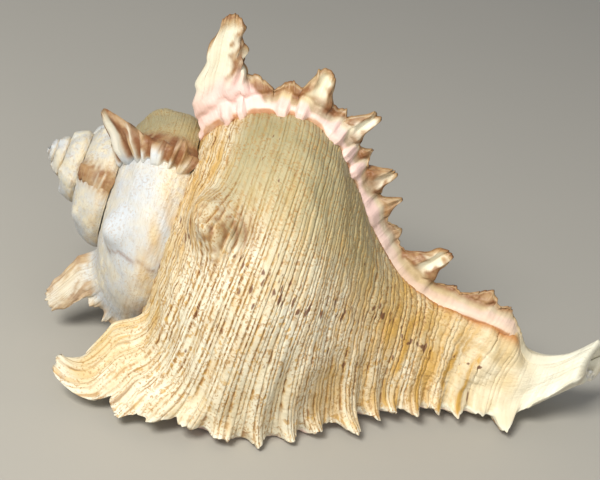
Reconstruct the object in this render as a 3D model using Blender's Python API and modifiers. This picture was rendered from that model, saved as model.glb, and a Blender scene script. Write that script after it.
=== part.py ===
"""Murex shell: a heavy dextral sea shell with three spiny varices to a whorl and a short open canal.

The shell is drawn as one outline that grows and turns round the coiling axis.  Every earlier lip stays as a
varix, a thick rib with fronds.  Closed pieces of growth are fused into one body, the aperture and the canal
are cut out of it, and the result is turned so that it rests with its aperture down.
"""
import math

import bmesh
import bpy
import numpy as np
from mathutils import Matrix, Vector
from mathutils.geometry import intersect_ray_tri

# Every length is in millimetres in the shell's own frame: w runs along the coiling axis from the apex to
# the tip of the canal, r is the distance from that axis, and psi is the angle round it.  Growth is an
# angle too: 0 at the lip, -360 one whorl earlier.
WHORL_OUTLINE = [
    (55, 38), (57.5, 44), (62, 51), (68, 57), (75, 61.5), (83, 64.5), (91, 65.3), (99, 63), (107, 58),
    (114, 51.5), (121, 44.5), (130, 36), (140, 28), (152, 21), (165, 16), (180, 12.5), (195, 9.5), (210, 8),
    (260, 2),
]
CANAL_RADIUS = [
    (0, 3), (60, 7), (100, 11.5), (150, 12.5), (165, 12), (177, 10.4), (185, 8.3), (191, 7.4), (195, 7.1),
    (199, 7.6), (260, 7.8),
]
CANAL_END = 198.5
CANAL_BEND = 19.2
CANAL_BEND_START = 150.0
CANAL_BEND_PSI = 75.0
CANAL_SLANT = 0.7
CANAL_SLANT_START = 176.0
CANAL_SLANT_PSI = 153.0
WIDER_PER_TURN = 1.73
LONGER_PER_TURN = 1.83
LIP_PSI = 205.0

# The varices are the thick ribs left by earlier lips.  Each frond on them is (place on the outline of the
# lip whorl, height, half width).
VARIX_STEP = 110.0
VARIX_MOVED = {3: 7.0}
VARIX_BACK = 32.0
VARIX_THICK = 4.0
LIP_LEAD = 9.0
LIP_FRONDS = [
    (61, 36, 12), (69, 21, 8.5), (76, 17, 6), (84, 11, 4.5), (93, 8, 4.5), (102, 7, 4), (109.5, 6.5, 4),
    (116, 8, 4.5), (125, 11, 5), (132, 8, 4), (138, 7.5, 3.5), (145, 7.5, 4), (152, 7, 4), (160, 7, 4),
    (168, 5, 4), (177, 13, 5.5), (188, 4, 4), (198, 2.5, 4),
]
OLD_FRONDS = [
    (61, 41, 14), (70, 12, 7), (79, 10, 5), (88, 18, 6.5), (96, 8.5, 3.6), (102.5, 17.5, 6), (110, 9, 3.6),
    (117, 16, 5.5), (123, 12.5, 4), (129, 9, 3.6), (137, 20, 6.5), (145, 6, 4), (152.5, 12, 5.5),
    (163, 2.5, 5),
]
# For each varix from the lip backwards: size of its shoulder spine, size of its other fronds, height of the
# web between them, how far the spine leans from the outline's normal towards straight out, how much the
# fronds narrow to their tips, and how far the spine's tip curls back.
VARIX_SHAPES = [
    (1.0, 1.0, 4.0, 0.9, 0.40, 11.5),
    (1.0, 1.0, 6.5, 0.90, 0.52, 0.0),
    (0.9, 1.0, 6.5, 0.60, 0.50, 0.0),
    (1.0, 0.9, 5.5, 0.65, 0.52, 1.5),
    (0.8, 0.75, 5.5, -0.20, 0.50, 0.0),
]
WORN_VARIX = (0.15, 0.2, 2.0, 0.0, 0.5, 0.0)

# The varix whose shoulder spine has lost its tip.
BLUNT_VARIX = 3

# Between two varices the shoulder carries one knob.
KNOB_PLACE = 67.0
KNOB_HEIGHT = 8.0

# The solid: wall, hollow, and how finely it is drawn.
WALL = 3.6
COLUMELLA = 9.0
MOUTH_SPAN = (57.0, 150.0)
MOUTH_DEPTH = 160.0
CANAL_BORE = [7.0, 5.5, 4.8, 5.7, 5.7]
CANAL_BORE_AT = [110, 150, 190, 199, 215]
SLIT_PSI = 252.0
SLIT_WIDTH = 3.2
COLUMNS = 200
PLAIN_ROWS = 10
BACK_ROWS = 14
FRONT_ROWS = 7
FULL_GROWTHS = 4
ALL_GROWTHS = 20
VOXEL = 1.15
TRIANGLES = 9600

# Roughly the way that is up when it rests on its lip and the belly of the whorl before.
UP_IN_SHELL = (-0.26, 0.0, 0.965)


def ease(x):
    """0 to 1 with soft ends."""
    x = np.clip(x, 0.0, 1.0)
    return x * x * (3 - 2 * x)


def smooth_curve(points, per_span=24):
    """Points on a Catmull-Rom curve through the given points."""
    p = np.array(points, float)
    p = np.vstack([2 * p[0] - p[1], p, 2 * p[-1] - p[-2]])
    t = np.linspace(0, 1, per_span, endpoint=False)[:, None]
    spans = []
    for a, b, c, d in zip(p[:-3], p[1:-2], p[2:-1], p[3:]):
        square = 2 * a - 5 * b + 4 * c - d
        cube = 3 * b - a - 3 * c + d
        spans.append(0.5 * (2 * b + (c - a) * t + square * t**2 + cube * t**3))
    spans.append(p[-2][None])
    return np.vstack(spans)


class Outline:
    """The whorl's outline at the lip, addressed by the share s of its length from suture to canal tip."""

    def __init__(self):
        self.curve = smooth_curve(WHORL_OUTLINE)
        kept = self.curve[self.curve[:, 0] <= CANAL_END]
        steps = np.linalg.norm(np.diff(kept, axis=0), axis=1)
        along = np.concatenate([[0], np.cumsum(steps)])
        self.length = along[-1]
        self.s = along / self.length
        self.w = kept[:, 0]
        tangent = np.gradient(kept, self.s, axis=0)
        normal = np.stack([-tangent[:, 1], tangent[:, 0]], 1)
        normal /= np.linalg.norm(normal, axis=1)[:, None]
        window = np.hanning(41) / np.hanning(41).sum()
        padded = np.pad(normal, ((20, 20), (0, 0)), mode="edge")
        normal = np.stack([np.convolve(padded[:, i], window, "valid") for i in (0, 1)], 1)
        self.normal = normal / np.linalg.norm(normal, axis=1)[:, None]

    def share(self, w):
        return np.interp(w, self.w, self.s)

    def place(self, s):
        return np.interp(s, self.s, self.w)

    def normals(self, s):
        return np.interp(s, self.s, self.normal[:, 0]), np.interp(s, self.s, self.normal[:, 1])

    def radius(self, w):
        return np.interp(w, self.curve[:, 0], self.curve[:, 1])


OUTLINE = Outline()


def canal_radius(w):
    return np.interp(w, [p[0] for p in CANAL_RADIUS], [p[1] for p in CANAL_RADIUS])


def varix_growth(k):
    """Growth angle of varix k, the lip being number 0."""
    return -VARIX_STEP * k + VARIX_MOVED.get(k, 0.0)


def plain_whorl(growth, s):
    """Place along the axis, radius and scale of the whorl without its varices."""
    lip_w = OUTLINE.place(s)
    longer = LONGER_PER_TURN ** (growth / 360)
    wider = WIDER_PER_TURN ** (growth / 360)
    fixed = ease((lip_w - 112) / 50)
    w = lip_w * (longer * (1 - fixed) + fixed)
    body = wider * OUTLINE.radius(w / longer)
    canal = canal_radius(w)
    blend = 3.0
    both = np.maximum(body, canal) + blend * np.clip(1 - np.abs(body - canal) / blend, 0, 1) ** 2 / 4
    return w, np.where(lip_w < 100, body, both), wider


def old_lip_rise(w, before, after):
    """How far the body rises to the end of the last lip, from the degrees before it and after it."""
    reach = 7.0 * ease((w - 118) / 45) * (1 - ease((w - 167) / 11))
    return reach * np.exp(-(before / 30) ** 2) * np.exp(-(after / 24) ** 2)


def varix_heights(k, s):
    """Height of the web and of the frond crest of varix k, and where each point sits across its frond."""
    spine, frond, web, lean, narrow, curl = VARIX_SHAPES[k] if k < len(VARIX_SHAPES) else WORN_VARIX
    sharpness = 0.5 + 1.45 * narrow
    lip_w = OUTLINE.place(s)
    low = web * ease((lip_w - 54) / 5)
    if k > 0:
        low = low * (1 - ease((lip_w - 161) / 9))
    crest = np.zeros_like(s)
    across = np.full_like(s, 2.0)
    pull = np.zeros_like(s)
    weight = np.ones_like(s)
    for number, (place, height, half) in enumerate(LIP_FRONDS if k == 0 else OLD_FRONDS):
        distance = (s - OUTLINE.share(place)) * OUTLINE.length
        q = distance / half
        tall = height * (spine if number == 0 else frond)
        falloff = np.clip(1 - np.abs(q) ** 2.4, 0, 1)
        rise = falloff ** (sharpness if number == 0 else 0.8)
        if (k, number) == (BLUNT_VARIX, 0):
            rise = np.minimum(rise, 0.8)
        crest = np.maximum(crest, tall * rise)
        across = np.where(np.abs(q) < np.abs(across), q, across)
        pull = pull + tall * falloff * distance * narrow * (1.0 if number == 0 else 0.75)
        weight = weight + tall * falloff
    crest = np.maximum(low, crest) + 1.2 * np.clip(1 - np.abs(low - crest) / 4, 0, 1) ** 2
    return low, crest, across, pull / weight, lean, curl


def to_space(w, r, psi):
    """Points of the shell's frame; the canal bends away from the axis and ends in a slanted rim."""
    angle = np.radians(psi)
    slant = CANAL_SLANT * ease((w - CANAL_SLANT_START) / (CANAL_END - CANAL_SLANT_START))
    x = w - slant * r * np.cos(angle - math.radians(CANAL_SLANT_PSI))
    bend = CANAL_BEND * np.clip((w - CANAL_BEND_START) / (CANAL_END - CANAL_BEND_START), 0, 2) ** 3.6
    bend_angle = math.radians(CANAL_BEND_PSI)
    y = r * np.cos(angle) + bend * math.cos(bend_angle)
    z = r * np.sin(angle) + bend * math.sin(bend_angle)
    return np.stack([x, y, z], -1)


def shell_points(growth, s, k=None, web_share=0.0, crest_share=0.0, forward=0.0, groove=0.0, after=0.0):
    """Outer surface at a growth angle, raised by shares of varix k and moved forward in millimetres."""
    w, r, scale = plain_whorl(growth, s)
    before = np.abs(growth + VARIX_STEP) if k == 1 else 999.0 * (np.abs(growth + VARIX_STEP) > 75)
    r = r + old_lip_rise(w, before, after if k != 1 else 0.0)
    nw, nr = OUTLINE.normals(s)
    back = 0.0
    if k is not None:
        low, crest, across, offset, lean, curl = varix_heights(k, s)
        height = (low * web_share + (crest - low) * crest_share) * scale
        near_spine = ease(1.3 - np.abs((s - OUTLINE.share(61)) * OUTLINE.length) / 20)
        lean_w = nw * (1 - 0.6 * abs(lean) * near_spine * (lean > 0)) + min(lean, 0) * near_spine
        lean_r = nr + max(lean, 0) * near_spine + min(lean, 0) * near_spine
        size = np.hypot(lean_w, lean_r)
        foot = np.minimum(height, 11 * scale)
        tip = height - foot
        up_frond = crest_share * np.clip(height / (crest * scale + 0.01), 0, 1) * (np.abs(across) < 1)
        inward = -offset * scale * up_frond - curl * near_spine * scale * (tip / (22 * scale)) ** 3
        w = w + nw * foot + lean_w / size * tip + nr * inward
        r = r + nr * foot + lean_r / size * tip - nw * inward
        back = -groove * np.clip(1 - across ** 2, 0, 1) * ease(height / 10)
    step = (growth + VARIX_STEP / 2) % VARIX_STEP
    step = np.minimum(step, VARIX_STEP - step)
    knob = KNOB_HEIGHT * np.exp(-((s - OUTLINE.share(KNOB_PLACE)) * OUTLINE.length / 9) ** 2)
    knob = knob * np.exp(-((step / 9.0) ** 2)) * np.where(growth < -470, 0.45, 1.0) * scale
    w = w + nw * knob
    r = r + nr * knob
    return to_space(w, r, LIP_PSI + growth + np.degrees((forward + back) / np.maximum(r, 9.0)))


def growth_rows(k, s, plain, back, front):
    """Rows of points from the front of varix k + 1 to the front of varix k."""
    lead = LIP_LEAD * (1 - ease((OUTLINE.place(s) - 60) / 25)) if k == 0 else 0.0
    crest = varix_growth(k) + lead
    behind = varix_growth(k + 1)
    w, r, _ = plain_whorl(behind + 0 * s, s)
    if k == 0:
        r = r + old_lip_rise(w, 0.0, 0.0)
    clear = np.degrees(VARIX_THICK / np.maximum(r, 9.0))
    rows = []
    for v in np.linspace(0, 1, plain, endpoint=False):
        growth = behind + clear + v * (crest - behind - VARIX_BACK - clear)
        after = (growth - behind - clear) if k == 0 else 0.0
        rows.append(shell_points(growth, s, after=after))
    for v in np.linspace(0, 1, back, endpoint=False):
        left = VARIX_BACK * (1 - v) ** 1.6
        f = 1 - left / VARIX_BACK
        growth = crest - left + 0 * s
        rows.append(shell_points(growth, s, k, f ** 2.6, f ** 9, groove=3.0 * f ** 6, after=999.0))
    for v in np.linspace(0, 1, front):
        u = 1 - v
        forward = VARIX_THICK * (0.35 * np.sqrt(np.clip(1 - u ** 6, 0, 1)) + 0.65 * ease(v))
        rows.append(shell_points(crest + 0 * s, s, k, u, u, forward=forward, groove=3.0 * u, after=999.0))
    return np.array(rows)


def add_mesh(name, points, faces, collection):
    """A mesh object from points in millimetres."""
    mesh = bpy.data.meshes.new(name)
    mesh.from_pydata((points / 1000.0).tolist(), [], faces)
    mesh.validate()
    thing = bpy.data.objects.new(name, mesh)
    collection.objects.link(thing)
    return thing


def growth_solid(k, s, collection):
    """The shell grown between varix k + 1 and varix k, closed down to the coiling axis."""
    rows = growth_rows(k, s, PLAIN_ROWS, BACK_ROWS, FRONT_ROWS)
    count, across = rows.shape[:2]
    axis = to_space(rows[:, :, 0].mean(0), 0 * s, 0 * s)
    points = np.vstack([rows.reshape(-1, 3), axis])
    centre = count * across
    faces = []
    for i in range(count - 1):
        for j in range(across - 1):
            a = i * across + j
            faces.append((a, a + 1, a + across + 1, a + across))
        a = i * across
        faces.append((a, a + across, centre))
        a = i * across + across - 1
        faces.append((a + across, a, centre + across - 1))
    last = (count - 1) * across
    for j in range(across - 1):
        faces.append((j + 1, j, centre + j, centre + j + 1))
        faces.append((last + j, last + j + 1, centre + j + 1, centre + j))
    return add_mesh(f"growth_{k:02d}", points, faces, collection)


def loft(name, loops, collection):
    """A closed solid through loops of equal numbers of points."""
    count, around = loops.shape[:2]
    faces = []
    for i in range(count - 1):
        for j in range(around):
            a = i * around + j
            b = i * around + (j + 1) % around
            faces.append((a, b, b + around, a + around))
    faces.append(tuple(range(around - 1, -1, -1)))
    faces.append(tuple((count - 1) * around + j for j in range(around)))
    return add_mesh(name, loops.reshape(-1, 3), faces, collection)


def mouth_section(growth, around):
    """Places along the axis and radii of the hollow's section at a growth angle."""
    longer = LONGER_PER_TURN ** (growth / 360)
    wider = WIDER_PER_TURN ** (growth / 360)
    turn = np.linspace(0, 2 * math.pi, around, endpoint=False)
    x = -np.cos(turn)
    start, end = MOUTH_SPAN[0] * longer, MOUTH_SPAN[1] * longer
    w = (start + end) / 2 + x * (end - start) / 2
    outer = wider * (OUTLINE.radius(w / longer) - WALL)
    earlier = w / longer * LONGER_PER_TURN
    before = wider / WIDER_PER_TURN * OUTLINE.radius(earlier) + 1.0
    inner = np.maximum(before, COLUMELLA * wider)
    inner = np.minimum(inner, outer - 1.0)
    half = (outer - inner) / 2 * np.sqrt(np.clip(1 - x ** 4, 0, 1))
    return w, (outer + inner) / 2 + np.where(turn < math.pi, half, -half)


def mouth_cutter(collection):
    """The hollow from in front of the lip to where the whorl closes off."""
    loops = []
    for growth in np.linspace(30, -MOUTH_DEPTH, 26):
        w, r = mouth_section(growth, 48)
        kept = 0.03 + 0.97 * math.sqrt(ease((growth + MOUTH_DEPTH) / 60))
        w = w.mean() + (w - w.mean()) * kept
        r = r.mean() + (r - r.mean()) * kept
        loops.append(to_space(w, r, LIP_PSI + growth + 0 * w))
    return loft("cutter_mouth", np.array(loops), collection)


def canal_tube(collection):
    """The bore of the siphonal canal."""
    loops = []
    turn = np.linspace(0, 2 * math.pi, 16, endpoint=False)
    for w in np.linspace(CANAL_BORE_AT[0], CANAL_BORE_AT[-1], 24):
        radius = np.interp(w, CANAL_BORE_AT, CANAL_BORE)
        loops.append(to_space(w + 0 * turn, radius + 0 * turn, np.degrees(turn)))
    return loft("cutter_canal", np.array(loops), collection)


def canal_slit(collection):
    """The gap that opens the canal along its aperture side."""
    loops = []
    angle = math.radians(SLIT_PSI)
    sideways = np.array([0.0, -math.sin(angle), math.cos(angle)]) * SLIT_WIDTH / 2
    for w in np.linspace(CANAL_BORE_AT[0] + 8, CANAL_BORE_AT[-1], 24):
        inner, outer = to_space(np.array([w, w]), np.array([0.0, 30.0]), SLIT_PSI)
        loops.append([inner - sideways, outer - sideways, outer + sideways, inner + sideways])
    return loft("cutter_slit", np.array(loops), collection)


def apply_modifiers(thing):
    """Turn the modified shape into the object's own mesh."""
    graph = bpy.context.evaluated_depsgraph_get()
    mesh = bpy.data.meshes.new_from_object(thing.evaluated_get(graph))
    thing.modifiers.clear()
    thing.data = mesh


def add_skin(body):
    """An even closed skin, which drops whatever lies inside it."""
    skin = body.modifiers.new("skin", "REMESH")
    skin.mode = "VOXEL"
    skin.voxel_size = VOXEL / 1000
    apply_modifiers(body)


def fuse(pieces, name):
    """One skin round all pieces, which overlap or touch."""
    points = []
    faces = []
    for piece in pieces:
        start = len(points)
        points.extend(v.co[:] for v in piece.data.vertices)
        faces.extend(tuple(start + i for i in p.vertices) for p in piece.data.polygons)
    mesh = bpy.data.meshes.new(name)
    mesh.from_pydata(points, [], faces)
    body = bpy.data.objects.new(name, mesh)
    pieces[0].users_collection[0].objects.link(body)
    for piece in pieces:
        bpy.data.objects.remove(piece, do_unlink=True)
    add_skin(body)
    return body


def cut(body, cutter):
    cutter.hide_render = True
    cutter.display_type = "WIRE"
    tool = body.modifiers.new(cutter.name, "BOOLEAN")
    tool.operation = "DIFFERENCE"
    tool.solver = "EXACT"
    tool.object = cutter
    apply_modifiers(body)


def thin_out(body):
    """Fewer triangles, most of them kept where the shape is sharpest."""
    body.data.calc_loop_triangles()
    count = len(body.data.loop_triangles)
    fewer = body.modifiers.new("fewer", "DECIMATE")
    fewer.ratio = TRIANGLES / count
    fewer.use_collapse_triangulate = True
    apply_modifiers(body)


def centre_of_mass(mesh):
    mesh.calc_loop_triangles()
    points = np.array([v.co[:] for v in mesh.vertices])
    corners = points[np.array([t.vertices[:] for t in mesh.loop_triangles])]
    volumes = np.einsum("ij,ij->i", corners[:, 0], np.cross(corners[:, 1], corners[:, 2]))
    return Vector((corners.sum(1) * volumes[:, None]).sum(0) / volumes.sum() / 4)


def resting_up(mesh, up):
    """The way that is up when the shell stands on the hull face that its centre of mass lies over."""
    centre = centre_of_mass(mesh)
    hull = bmesh.new()
    for v in mesh.vertices:
        hull.verts.new(v.co)
    made = bmesh.ops.convex_hull(hull, input=hull.verts)
    faces = [[v.co.copy() for v in f.verts] for f in made["geom"] if isinstance(f, bmesh.types.BMFace)]
    hull.free()
    for _ in range(12):
        for a, b, c in faces:
            if intersect_ray_tri(a, b, c, -up, centre, True):
                normal = (b - a).cross(c - a).normalized()
                up = normal if normal.dot(up) > 0 else -normal
                break
    return up


def lay_down(body):
    """Turn the resting side down and put the origin under the middle of the box."""
    up = resting_up(body.data, Vector(UP_IN_SHELL).normalized())
    along = (Vector((1, 0, 0)) - up * up.x).normalized()
    turn = Matrix((along, up.cross(along), up))
    body.data.transform(turn.to_4x4())
    corners = np.array([v.co[:] for v in body.data.vertices])
    low, high = corners.min(0), corners.max(0)
    middle = Vector(((low[0] + high[0]) / 2, (low[1] + high[1]) / 2, low[2]))
    body.data.transform(Matrix.Translation(-middle))


def shell_material():
    material = bpy.data.materials.new("shell")
    material.use_nodes = True
    surface = material.node_tree.nodes["Principled BSDF"]
    surface.inputs["Base Color"].default_value = (0.78, 0.66, 0.48, 1)
    surface.inputs["Roughness"].default_value = 0.55
    return material


def main():
    for thing in list(bpy.data.objects):
        bpy.data.objects.remove(thing, do_unlink=True)
    shell = bpy.data.collections.new("murex_shell")
    cutters = bpy.data.collections.new("cutters")
    for collection in (shell, cutters):
        bpy.context.scene.collection.children.link(collection)
    s = np.linspace(0, 1, COLUMNS)
    upper = s[s < OUTLINE.share(99)]
    growths = [growth_solid(k, s if k < FULL_GROWTHS else upper, shell) for k in range(ALL_GROWTHS)]
    body = fuse(growths, "murex_shell")
    hollow = fuse([mouth_cutter(cutters), canal_tube(cutters), canal_slit(cutters)], "cutter_hollow")
    cut(body, hollow)
    add_skin(body)
    thin_out(body)
    lay_down(body)
    body.data.shade_smooth()
    body.data.materials.append(shell_material())


main()
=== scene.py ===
"""Visual model of the murex shell: fine surfaces drawn by the solid's rules, and their materials."""
import math

import bpy
import numpy as np
from mathutils import Matrix, Vector


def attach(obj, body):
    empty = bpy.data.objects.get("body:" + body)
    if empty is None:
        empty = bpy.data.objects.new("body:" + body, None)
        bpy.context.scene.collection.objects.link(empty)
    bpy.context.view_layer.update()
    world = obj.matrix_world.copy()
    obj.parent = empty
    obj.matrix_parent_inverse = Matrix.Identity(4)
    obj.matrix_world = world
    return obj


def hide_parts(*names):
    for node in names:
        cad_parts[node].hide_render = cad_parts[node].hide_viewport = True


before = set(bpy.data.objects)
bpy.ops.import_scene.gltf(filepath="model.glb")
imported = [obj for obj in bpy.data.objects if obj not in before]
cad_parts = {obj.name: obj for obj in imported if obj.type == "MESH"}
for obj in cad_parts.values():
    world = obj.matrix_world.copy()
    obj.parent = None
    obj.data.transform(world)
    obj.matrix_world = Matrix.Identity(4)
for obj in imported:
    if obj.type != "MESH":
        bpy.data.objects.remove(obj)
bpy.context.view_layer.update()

# Every length is in millimetres in the shell's own frame: w runs along the coiling axis from the apex to
# the tip of the canal, r is the distance from that axis, and psi is the angle round it.  Growth is an
# angle too: 0 at the lip, -360 one whorl earlier.  s is the share of the outline from suture to canal tip.
WHORL_OUTLINE = [
    (55, 38), (57.5, 44), (62, 51), (68, 57), (75, 61.5), (83, 64.5), (91, 65.3), (99, 63), (107, 58),
    (114, 51.5), (121, 44.5), (130, 36), (140, 28), (152, 21), (165, 16), (180, 12.5), (195, 9.5), (210, 8),
    (260, 2),
]
CANAL_RADIUS = [
    (0, 3), (60, 7), (100, 11.5), (150, 12.5), (165, 12), (177, 10.4), (185, 8.3), (191, 7.4), (195, 7.1),
    (199, 7.6), (260, 7.8),
]
CANAL_END = 198.5
CANAL_BEND = 19.2
CANAL_BEND_START = 150.0
CANAL_BEND_PSI = 75.0
CANAL_SLANT = 0.7
CANAL_SLANT_START = 176.0
CANAL_SLANT_PSI = 153.0
WIDER_PER_TURN = 1.73
LONGER_PER_TURN = 1.83
LIP_PSI = 205.0

# The varices are the thick ribs left by earlier lips.  Each frond on them is (place on the outline of the
# lip whorl, height, half width).
VARIX_STEP = 110.0
VARIX_MOVED = {3: 7.0}
VARIX_BACK = 32.0
VARIX_THICK = 4.0
LIP_LEAD = 9.0
LIP_FRONDS = [
    (61, 36, 12), (69, 21, 8.5), (76, 17, 6), (84, 11, 4.5), (93, 8, 4.5), (102, 7, 4), (109.5, 6.5, 4),
    (116, 8, 4.5), (125, 11, 5), (132, 8, 4), (138, 7.5, 3.5), (145, 7.5, 4), (152, 7, 4), (160, 7, 4),
    (168, 5, 4), (177, 13, 5.5), (188, 4, 4), (198, 2.5, 4),
]
OLD_FRONDS = [
    (61, 41, 14), (70, 12, 7), (79, 10, 5), (88, 18, 6.5), (96, 8.5, 3.6), (102.5, 17.5, 6), (110, 9, 3.6),
    (117, 16, 5.5), (123, 12.5, 4), (129, 9, 3.6), (137, 20, 6.5), (145, 6, 4), (152.5, 12, 5.5),
    (163, 2.5, 5),
]
# For each varix from the lip backwards: size of its shoulder spine, size of its other fronds, height of the
# web between them, how far the spine leans from the outline's normal towards straight out, how much the
# fronds narrow to their tips, and how far the spine's tip curls back.
VARIX_SHAPES = [
    (1.0, 1.0, 4.0, 0.9, 0.40, 11.5),
    (1.0, 1.0, 6.5, 0.90, 0.52, 0.0),
    (0.9, 1.0, 6.5, 0.60, 0.50, 0.0),
    (1.0, 0.9, 5.5, 0.65, 0.52, 1.5),
    (0.8, 0.75, 5.5, -0.20, 0.50, 0.0),
]
WORN_VARIX = (0.15, 0.2, 2.0, 0.0, 0.5, 0.0)

# The varix whose shoulder spine has lost its tip.
BLUNT_VARIX = 3

# Where the outline carries the shoulder spine, and how far along the outline the spine shapes a varix.
SPINE_PLACE = 61
SPINE_SPAN = 20
# The place where the whorl is widest.
WIDEST_PLACE = 91

# Between two varices the shoulder carries one knob.
KNOB_PLACE = 67.0
KNOB_HEIGHT = 8.0

# How the solid lies: the way that is up in the shell's frame, and where the apex is in the model's frame.
UP_IN_SHELL = (-0.2626, -0.00848, 0.96487)
APEX_AT = (-101.524, 7.241, 55.153)
# Below this height, in metres, the surface is pressed together, so that nothing reaches under the ground.
REST_BAND = 0.0015

# Fine relief: the number of cords, the mesh columns for each, then lengths in millimetres at the lip.
CORDS = 100
COLUMNS_PER_CORD = 7
CORD_DEPTH = 0.34
FLUTE_DEPTH = 0.9
FLUTE_WIDTH = 12.0
RIM_THICK = 3.4
RIM_SCALLOP = 10.5
PICKET_THICK = 3.6
COMB_STEP = 8.4
WRINKLE_STEP = 2.7
KNOB_WIDTH = 9
# The knob's sharp top lies this far from its middle, in millimetres and in degrees.
TOP_SHIFT = 4.0
# How far the blades of the fronds wave, for the lip and for each varix before it.
FROND_WAVES = (0.8, 2.2, 2.0, 1.0, 1.0)
# The varices with the comb of pickets and with the rough patch.
COMB_VARIX = 4
ROUGH_VARIX = 7

# Degrees of growth before the lip: the row of dark dashes, where the sharp knob's stretch starts, where
# wear sets in, the line where growth once stopped, the two ends of the sheltered far hump, and where the
# knobs are low.
DASH_ROW = 46
SHARP_KNOB_FROM = 109
WORN_FROM = 285
STOP_LINE = 378
HUMP_FROM = 446
HUMP_TO = 530
LOW_KNOBS_FROM = 470

# The hollow, with its mesh rows near the lip and deeper in, and the canal's bore.
WALL = 3.6
COLUMELLA = 9.0
MOUTH_SPAN = (57.0, 150.0)
MOUTH_DEPTH = 160.0
MOUTH_COLUMNS = 260
MOUTH_ROWS = (24, 90)
CANAL_BORE = [7.0, 5.5, 4.8, 5.7, 5.7]
CANAL_BORE_AT = [110, 150, 190, 199, 215]
SLIT_PSI = 252.0
SLIT_WIDTH = 3.2

# Nearer the axis than this, a distance turns a point no further than it would here.
SMALLEST_RADIUS = 9.0


def ease(x):
    """0 to 1 with soft ends."""
    x = np.clip(x, 0.0, 1.0)
    return x * x * (3 - 2 * x)


def hill(*falls):
    """1 in the middle and less around it: each fall is a distance from the middle and a width."""
    return np.exp(-sum((distance / width) ** 2 for distance, width in falls))


def turn_for(distance, radius):
    """Degrees of turn that carry a point at this radius the given distance."""
    return np.degrees(distance / np.maximum(radius, SMALLEST_RADIUS))


def size_at(growth):
    """Size of the whorl at a growth angle, next to its size at the lip."""
    return WIDER_PER_TURN ** (growth / 360)


def smooth_curve(points, per_span=24):
    """Points on a Catmull-Rom curve through the given points."""
    p = np.array(points, float)
    p = np.vstack([2 * p[0] - p[1], p, 2 * p[-1] - p[-2]])
    t = np.linspace(0, 1, per_span, endpoint=False)[:, None]
    spans = []
    for a, b, c, d in zip(p[:-3], p[1:-2], p[2:-1], p[3:]):
        square = 2 * a - 5 * b + 4 * c - d
        cube = 3 * b - a - 3 * c + d
        spans.append(0.5 * (2 * b + (c - a) * t + square * t**2 + cube * t**3))
    spans.append(p[-2][None])
    return np.vstack(spans)


class Outline:
    """The whorl's outline at the lip, addressed by the share s of its length from suture to canal tip."""

    def __init__(self):
        self.curve = smooth_curve(WHORL_OUTLINE)
        kept = self.curve[self.curve[:, 0] <= CANAL_END]
        steps = np.linalg.norm(np.diff(kept, axis=0), axis=1)
        along = np.concatenate([[0], np.cumsum(steps)])
        self.length = along[-1]
        self.s = along / self.length
        self.w = kept[:, 0]
        tangent = np.gradient(kept, self.s, axis=0)
        normal = np.stack([-tangent[:, 1], tangent[:, 0]], 1)
        normal /= np.linalg.norm(normal, axis=1)[:, None]
        window = np.hanning(41) / np.hanning(41).sum()
        padded = np.pad(normal, ((20, 20), (0, 0)), mode="edge")
        normal = np.stack([np.convolve(padded[:, i], window, "valid") for i in (0, 1)], 1)
        self.normal = normal / np.linalg.norm(normal, axis=1)[:, None]

    def share(self, w):
        return np.interp(w, self.w, self.s)

    def place(self, s):
        return np.interp(s, self.s, self.w)

    def normals(self, s):
        return np.interp(s, self.s, self.normal[:, 0]), np.interp(s, self.s, self.normal[:, 1])

    def radius(self, w):
        return np.interp(w, self.curve[:, 0], self.curve[:, 1])


OUTLINE = Outline()


def canal_radius(w):
    return np.interp(w, [p[0] for p in CANAL_RADIUS], [p[1] for p in CANAL_RADIUS])


def varix_growth(k):
    """Growth angle of varix k, the lip being number 0."""
    return -VARIX_STEP * k + VARIX_MOVED.get(k, 0.0)


def plain_whorl(growth, s):
    """Place along the axis, radius and scale of the whorl without its varices."""
    lip_w = OUTLINE.place(s)
    longer = LONGER_PER_TURN ** (growth / 360)
    wider = size_at(growth)
    fixed = ease((lip_w - 112) / 50)
    w = lip_w * (longer * (1 - fixed) + fixed)
    body = wider * OUTLINE.radius(w / longer)
    canal = canal_radius(w)
    blend = 3.0
    both = np.maximum(body, canal) + blend * np.clip(1 - np.abs(body - canal) / blend, 0, 1) ** 2 / 4
    return w, np.where(lip_w < 100, body, both), wider


def old_lip_rise(w, before, after):
    """How far the body rises to the end of the last lip, from the degrees before it and after it."""
    reach = 7.0 * ease((w - 118) / 45) * (1 - ease((w - 167) / 11))
    return reach * np.exp(-(before / 30) ** 2) * np.exp(-(after / 24) ** 2)


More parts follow.
